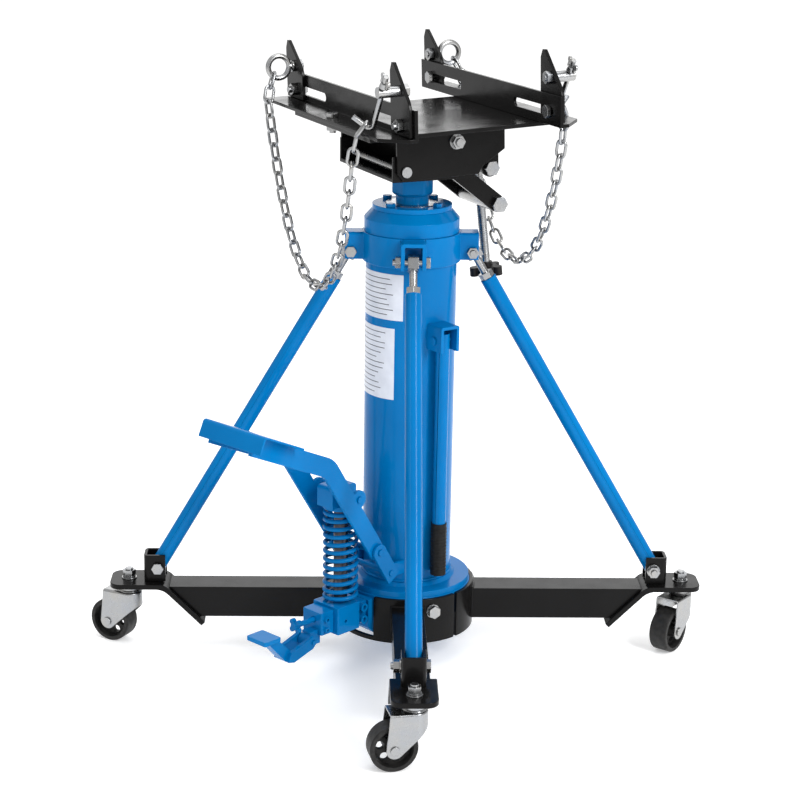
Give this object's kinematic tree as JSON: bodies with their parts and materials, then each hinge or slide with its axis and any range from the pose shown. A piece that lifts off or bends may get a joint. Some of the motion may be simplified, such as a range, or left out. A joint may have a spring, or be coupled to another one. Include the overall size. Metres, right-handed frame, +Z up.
{
  "type": "telescopic transmission jack",
  "caption": "Tall foot-pumped hydraulic jack: braced column on a rolling cross base, telescopic ram and a tilting saddle with clamp ears and safety chains.",
  "frame": {"origin": "on the floor, on the axis of the column", "axes": "+Z up along the column, -Y along the front leg, +X along the right leg; the foot pump lies between the front and left legs"},
  "size_m": [0.9775, 0.9614, 0.9678],
  "materials": {
    "blue_paint": "gloss enamel",
    "black_paint": "semi-gloss powder coat",
    "zinc_plate": "bright zinc plate",
    "spring_steel": "paint over spring steel",
    "bare_steel": "honed",
    "ground_steel": "ground and chromed",
    "cast_wheel": "black painted casting",
    "grip_rubber": "matt",
    "knob_plastic": "moulded"
  },
  "bodies": {
    "base": {"base_ring": "black_paint", "leg_front": "black_paint", "leg_left": "black_paint", "leg_rear": "black_paint", "leg_right": "black_paint", "base_flange": "blue_paint", "column_tube": "blue_paint", "inner_cylinder": "bare_steel", "collar": "blue_paint", "gland_housing": "blue_paint", "cap_flange": "blue_paint", "cap_bolts": "blue_paint", "brace_tubes": "blue_paint", "brace_eye_studs": "zinc_plate", "frame_fasteners": "zinc_plate", "column_brackets": "blue_paint", "pump_mount": "blue_paint", "pump_block": "blue_paint", "pump_screws": "blue_paint", "valve_block": "blue_paint"},
    "stage_one": {"outer_ram": "ground_steel"},
    "stage_two": {"inner_ram": "blue_paint"},
    "head_base": {"ram_adapter": "blue_paint", "base_bracket": "black_paint", "tilt_pin": "zinc_plate", "lower_trunnion": "zinc_plate"},
    "saddle": {"tilt_bracket": "black_paint", "saddle_plate": "black_paint", "rail_left": "black_paint", "rail_right": "black_paint", "saddle_bolts": "zinc_plate", "chain_left": "zinc_plate", "chain_right": "zinc_plate"},
    "screw_yoke": {"upper_trunnion": "zinc_plate"},
    "screw": {"tilt_screw": "zinc_plate", "tilt_knob": "knob_plastic"},
    "link": {"lever_link": "blue_paint"},
    "lever": {"pump_lever": "blue_paint"},
    "plunger": {"pump_plunger": "blue_paint", "pump_spring": "spring_steel"},
    "release_pedal": {"release_pedal": "blue_paint"},
    "release_knob": {"release_knob": "blue_paint"},
    "handle": {"handle_tube": "blue_paint", "handle_grip": "grip_rubber"},
    "clamp_rear_left": {"ear_rear_left": "black_paint", "eyebolt_left": "zinc_plate"},
    "clamp_rear_right": {"ear_rear_right": "black_paint", "eyebolt_right": "zinc_plate"},
    "clamp_front_left": {"ear_front_left": "black_paint", "hook_left": "zinc_plate"},
    "clamp_front_right": {"ear_front_right": "black_paint", "hook_right": "zinc_plate"},
    "caster_front": {"caster_fork_front": "zinc_plate"},
    "wheel_front": {"caster_wheel_front": "cast_wheel"},
    "caster_left": {"caster_fork_left": "zinc_plate"},
    "wheel_left": {"caster_wheel_left": "cast_wheel"},
    "caster_rear": {"caster_fork_rear": "zinc_plate"},
    "wheel_rear": {"caster_wheel_rear": "cast_wheel"},
    "caster_right": {"caster_fork_right": "zinc_plate"},
    "wheel_right": {"caster_wheel_right": "cast_wheel"}
  },
  "joints": [
    {"name": "lift_stage_one", "type": "slide", "parent": "base", "child": "stage_one", "axis": [0, 0, 1], "range_m": [0, 0.47]},
    {"name": "lift_stage_two", "type": "slide", "parent": "stage_one", "child": "stage_two", "axis": [0, 0, 1], "range_m": [0, 0.47]},
    {"name": "saddle_swivel", "type": "hinge", "parent": "stage_two", "child": "head_base", "pos_m": [0, 0, 0.74], "axis": [0, 0, 1], "range_deg": [-5, 44]},
    {"name": "saddle_tilt", "type": "hinge", "parent": "head_base", "child": "saddle", "pos_m": [-0.05457, -0.01795, 0.78725], "axis": [0.3939, -0.9191, 0], "range_deg": [-3, 20]},
    {"name": "screw_pivot", "type": "hinge", "parent": "saddle", "child": "screw_yoke", "pos_m": [0.10045, 0.04849, 0.77441], "axis": [0.3939, -0.9191, 0], "range_deg": [-22, 4]},
    {"name": "screw_turn", "type": "hinge", "parent": "screw_yoke", "child": "screw", "pos_m": [0.10045, 0.04849, 0.77441], "axis": [0.1139, 0.0488, -0.9923], "range_deg": [-1800, 11000]},
    {"name": "caster_swivel_front", "type": "hinge", "parent": "base", "child": "caster_front", "pos_m": [0, -0.442, 0.09], "axis": [0, 0, 1], "continuous": true},
    {"name": "caster_roll_front", "type": "hinge", "parent": "caster_front", "child": "wheel_front", "pos_m": [-0.03036, -0.44827, 0.035], "axis": [0.2021, -0.9794, 0], "continuous": true},
    {"name": "caster_swivel_left", "type": "hinge", "parent": "base", "child": "caster_left", "pos_m": [-0.442, 0, 0.09], "axis": [0, 0, 1], "continuous": true},
    {"name": "caster_roll_left", "type": "hinge", "parent": "caster_left", "child": "wheel_left", "pos_m": [-0.46949, 0.01433, 0.035], "axis": [-0.4624, -0.8867, 0], "continuous": true},
    {"name": "caster_swivel_rear", "type": "hinge", "parent": "base", "child": "caster_rear", "pos_m": [0, 0.442, 0.09], "axis": [0, 0, 1], "continuous": true},
    {"name": "caster_roll_rear", "type": "hinge", "parent": "caster_rear", "child": "wheel_rear", "pos_m": [0.02598, 0.45891, 0.035], "axis": [-0.5455, 0.8381, 0], "continuous": true},
    {"name": "caster_swivel_right", "type": "hinge", "parent": "base", "child": "caster_right", "pos_m": [0.442, 0, 0.09], "axis": [0, 0, 1], "continuous": true},
    {"name": "caster_roll_right", "type": "hinge", "parent": "caster_right", "child": "wheel_right", "pos_m": [0.42268, -0.02425, 0.035], "axis": [0.7822, -0.6231, 0], "continuous": true},
    {"name": "lever_link_swing", "type": "hinge", "parent": "base", "child": "link", "pos_m": [-0.06223, -0.06223, 0.157], "axis": [0.7071, -0.7071, 0], "range_deg": [-45.5, 0.5]},
    {"name": "pump_lever", "type": "hinge", "parent": "link", "child": "lever", "pos_m": [-0.0799, -0.0799, 0.197], "axis": [0.7071, -0.7071, 0], "range_deg": [0, 70], "stiffness_Nm_per_rad": 6, "springref_deg": -57.3},
    {"name": "pump_stroke", "type": "slide", "parent": "base", "child": "plunger", "axis": [0, 0, 1], "range_m": [-0.0207, 0.0001], "deforming": ["pump_spring"]},
    {"name": "release_pedal", "type": "hinge", "parent": "base", "child": "release_pedal", "pos_m": [-0.15698, -0.15698, 0.07], "axis": [0.7071, -0.7071, 0], "range_deg": [0, 12], "stiffness_Nm_per_rad": 8, "springref_deg": -20.05},
    {"name": "release_knob", "type": "hinge", "parent": "base", "child": "release_knob", "pos_m": [-0.14566, -0.14566, 0.099], "axis": [-0.7071, -0.7071, 0], "range_deg": [0, 180]},
    {"name": "handle_fold", "type": "hinge", "parent": "base", "child": "handle", "pos_m": [0.04759, -0.07163, 0.525], "axis": [-0.8329, -0.5534, 0], "range_deg": [0, 90]},
    {"name": "slide_rear_left", "type": "slide", "parent": "saddle", "child": "clamp_rear_left", "axis": [-0.3939, 0.9191, 0], "range_m": [-0.093, 0], "deforming": ["chain_left"]},
    {"name": "slide_rear_right", "type": "slide", "parent": "saddle", "child": "clamp_rear_right", "axis": [-0.3939, 0.9191, 0], "range_m": [-0.093, 0], "deforming": ["chain_right"]},
    {"name": "slide_front_left", "type": "slide", "parent": "saddle", "child": "clamp_front_left", "axis": [-0.3939, 0.9191, 0], "range_m": [0, 0.093], "deforming": ["chain_left"]},
    {"name": "slide_front_right", "type": "slide", "parent": "saddle", "child": "clamp_front_right", "axis": [-0.3939, 0.9191, 0], "range_m": [0, 0.093], "deforming": ["chain_right"]}
  ],
  "couplings": [
    {"joint": "screw_pivot", "follows": "saddle_tilt", "ratio": -1.08},
    {"joint": "screw_turn", "follows": "saddle_tilt", "ratio": 522},
    {"joint": "lever_link_swing", "follows": "pump_lever", "ratio": -0.64286},
    {"joint": "pump_stroke", "follows": "pump_lever", "m_per_rad": -0.016861}
  ]
}
